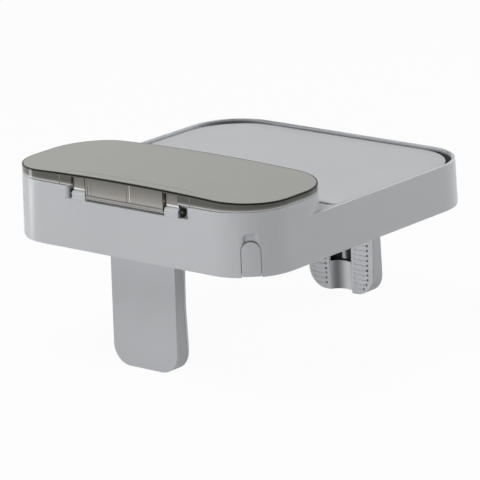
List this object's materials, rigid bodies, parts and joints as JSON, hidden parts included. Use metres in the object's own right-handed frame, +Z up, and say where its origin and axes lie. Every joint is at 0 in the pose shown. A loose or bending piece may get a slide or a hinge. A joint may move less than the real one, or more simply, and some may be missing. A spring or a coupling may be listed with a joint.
{
  "type": "hot tub side tray",
  "caption": "Grey plastic tray that straddles a hot tub wall on a fixed leg and a sliding one, with a smoked hinged lid over its front box, a lift-out panel and fold-out corner hooks.",
  "frame": {"origin": "centre of the bounding box at its bottom, between the feet on the ground", "axes": "+Z up, -Y towards the box and the front wall, +X to the right seen from the front"},
  "size_m": [0.32, 0.34, 0.1875],
  "materials": {
    "shell": "fine satin",
    "panel": "fine matt grain",
    "leg": "fine satin",
    "grip": "matt, ribbed",
    "smoked_lid": "smoked, clear",
    "steel": "plain"
  },
  "bodies": {
    "tray": {"tray_shell": "shell", "base_plate": "shell", "base_screw_1": "steel", "base_screw_2": "steel", "base_screw_3": "steel", "base_screw_4": "steel", "base_screw_5": "steel", "base_screw_6": "steel", "base_screw_7": "steel", "base_screw_8": "steel", "hinge_pin_left": "steel", "hinge_pin_right": "steel", "hook_pin_left": "steel", "hook_pin_right": "steel", "front_leg_shell": "leg", "front_leg_grip": "grip", "front_leg_screw_left": "steel", "front_leg_screw_right": "steel"},
    "lid": {"lid": "smoked_lid"},
    "panel": {"tray_panel": "panel"},
    "hook_left": {"hook_left": "shell"},
    "hook_right": {"hook_right": "shell"},
    "rear_leg": {"rear_leg_shell": "leg", "rear_leg_grip": "grip", "leg_runner": "leg", "runner_screw_left": "steel", "runner_screw_right": "steel", "lever_spring": "steel"},
    "lever": {"release_lever": "leg"}
  },
  "joints": [
    {"name": "lid_hinge", "type": "hinge", "parent": "tray", "child": "lid", "pos_m": [0, -0.16433, 0.1673], "axis": [1, 0, 0], "range_deg": [0, 95]},
    {"name": "panel_lift", "type": "slide", "parent": "tray", "child": "panel", "axis": [0, 0, 1], "range_m": [0, 0.05]},
    {"name": "hook_left_fold", "type": "hinge", "parent": "tray", "child": "hook_left", "pos_m": [-0.13876, -0.15227, 0.1187], "axis": [0.7431, -0.6691, 0], "range_deg": [0, 85]},
    {"name": "hook_right_fold", "type": "hinge", "parent": "tray", "child": "hook_right", "pos_m": [0.13876, -0.15227, 0.1187], "axis": [0.7431, 0.6691, 0], "range_deg": [0, 85]},
    {"name": "rear_leg_slide", "type": "slide", "parent": "tray", "child": "rear_leg", "axis": [0, -1, 0], "range_m": [0, 0.1]},
    {"name": "lever_pull", "type": "slide", "parent": "rear_leg", "child": "lever", "axis": [0, 0, -1], "range_m": [0, 0.003], "stiffness_N_per_m": 500, "springref_m": -0.004, "deforming": ["lever_spring"]}
  ]
}
